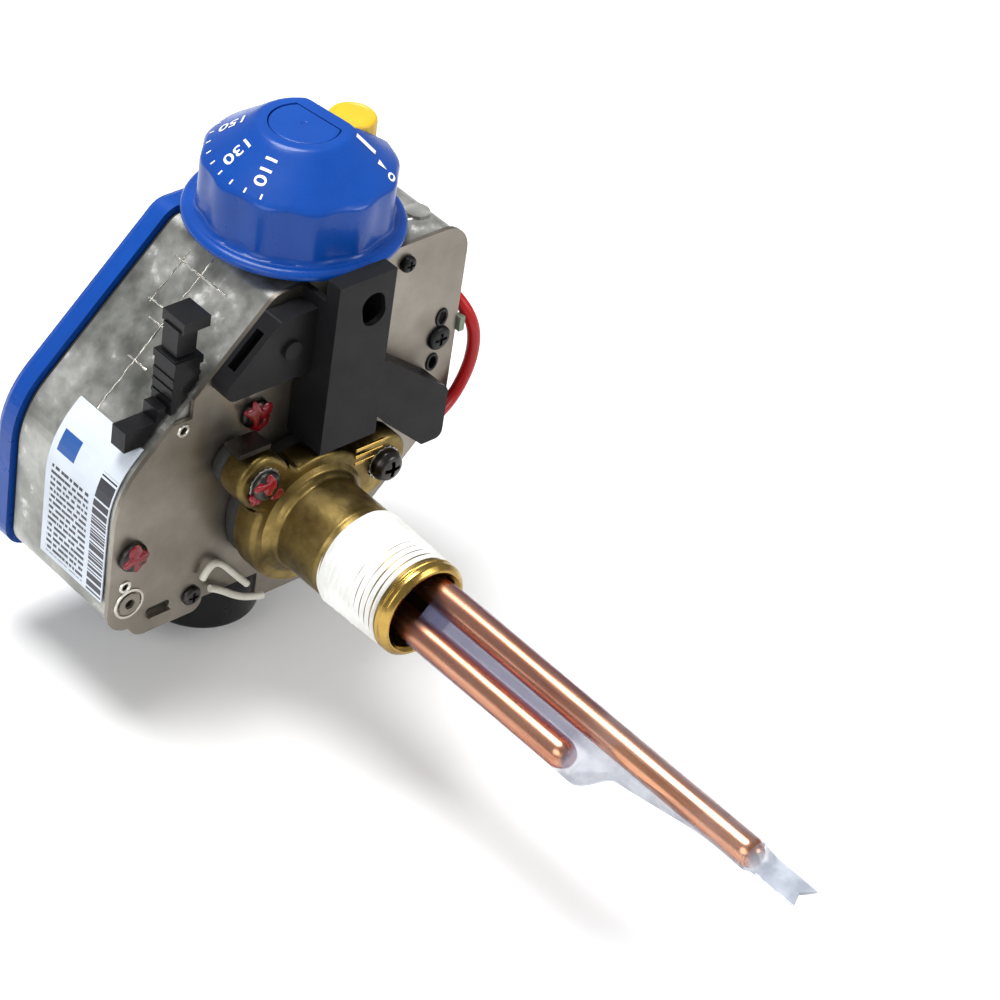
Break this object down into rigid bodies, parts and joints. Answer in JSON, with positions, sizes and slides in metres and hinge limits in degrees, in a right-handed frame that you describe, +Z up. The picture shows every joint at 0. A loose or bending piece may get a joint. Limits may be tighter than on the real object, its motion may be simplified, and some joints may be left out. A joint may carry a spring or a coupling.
{
  "type": "gas_control_valve",
  "caption": "Water heater gas control valve: cast body with front cover, turning knob with pilot button, brass tank shank and thermostat probe in a clear sleeve.",
  "frame": {"origin": "Where the shank's axis meets the outer face of the back plate, which is also the plane that faces the tank", "axes": "+Z up with the knob on top, +Y along the shank into the tank, +X to the right of a person facing the front cover"},
  "size_m": [0.109, 0.2212, 0.1293],
  "materials": {
    "knob_blue": "royal blue moulded plastic",
    "button_yellow": "yellow moulded plastic",
    "cast_alloy": "as-cast light grey with raised flow lines",
    "plate_steel": "dull brown-grey plated steel",
    "brass_cast": "darkened cast brass",
    "brass_bright": "turned brass",
    "steel": "plain steel",
    "fastener_dark": "dark plated fastener",
    "copper_tube": "drawn copper",
    "black_plastic": "black moulded plastic",
    "guard_plastic": "charcoal moulded plastic",
    "sealant": "white thread sealant",
    "gasket": "black gasket",
    "clear_film": "clear bluish shrink sleeve",
    "lead_red": "red wire insulation",
    "lead_white": "off-white wire insulation",
    "label_film": "pale printed label",
    "tab_grey": "grey-green plastic"
  },
  "bodies": {
    "housing": {"valve_body": "cast_alloy", "back_plate": "plate_steel", "front_cover": "knob_blue", "body_gasket": "gasket", "cover_screw": "steel", "info_label": "label_film", "outlet_stub": "cast_alloy", "outlet_cap": "black_plastic", "inlet_bushing": "brass_bright", "inlet_screen": "steel", "edge_tab": "tab_grey", "stem_bushing": "brass_cast", "stem_seal": "gasket", "plate_screw_upper": "fastener_dark", "plate_screw_side": "fastener_dark", "plate_screw_bottom": "fastener_dark", "top_screw": "fastener_dark", "push_rivet": "fastener_dark", "valve_bridge": "cast_alloy", "safety_magnet": "steel", "lever_pin": "steel", "brass_shank": "brass_cast", "thread_sealant": "sealant", "flange_gasket": "gasket", "flange_screw_left": "fastener_dark", "flange_screw_right": "fastener_dark", "flange_screw_lower": "fastener_dark", "flange_clip": "fastener_dark", "probe_header": "brass_bright", "thermostat_tube": "copper_tube", "thermostat_rod": "steel", "cutoff_tube": "copper_tube", "cutoff_bulb": "steel", "probe_sleeve": "clear_film", "sleeve_tail": "clear_film", "wire_guard": "guard_plastic", "connector_base": "black_plastic", "connector_body": "black_plastic", "connector_plug": "black_plastic", "red_lead": "lead_red", "white_lead_a": "lead_white", "white_lead_b": "lead_white"},
    "knob": {"control_knob": "knob_blue", "knob_cap": "knob_blue", "knob_base": "black_plastic", "knob_stem": "steel", "gas_cock_plug": "brass_bright"},
    "button": {"pilot_button": "button_yellow", "button_spring": "steel"},
    "main_valve": {"main_valve_disc": "brass_bright", "main_valve_spring": "steel"},
    "safety_valve": {"safety_valve_disc": "steel"},
    "lever": {"thermostat_lever": "steel"}
  },
  "joints": [
    {"name": "knob_turn", "type": "hinge", "parent": "housing", "child": "knob", "pos_m": [-0.0125, -0.0205, 0.0627], "axis": [0, 0, -1], "range_deg": [0, 270]},
    {"name": "pilot_press", "type": "slide", "parent": "knob", "child": "button", "axis": [0, 0, -1], "range_m": [0, 0.004], "stiffness_N_per_m": 400, "springref_m": -0.002, "deforming": ["button_spring"]},
    {"name": "main_valve_lift", "type": "slide", "parent": "housing", "child": "main_valve", "axis": [0, 0, 1], "range_m": [0, 0.0024], "deforming": ["main_valve_spring"]},
    {"name": "thermostat_trip", "type": "hinge", "parent": "housing", "child": "lever", "pos_m": [0.0022, -0.009, 0.008], "axis": [-1, 0, 0], "range_deg": [0, 15.2]},
    {"name": "safety_valve_lift", "type": "slide", "parent": "housing", "child": "safety_valve", "axis": [0, 0, 1], "range_m": [0, 0.003]}
  ],
  "couplings": [
    {"joint": "thermostat_trip", "follows": "main_valve_lift", "rad_per_m": 110},
    {"joint": "safety_valve_lift", "follows": "pilot_press", "ratio": 0.75}
  ]
}
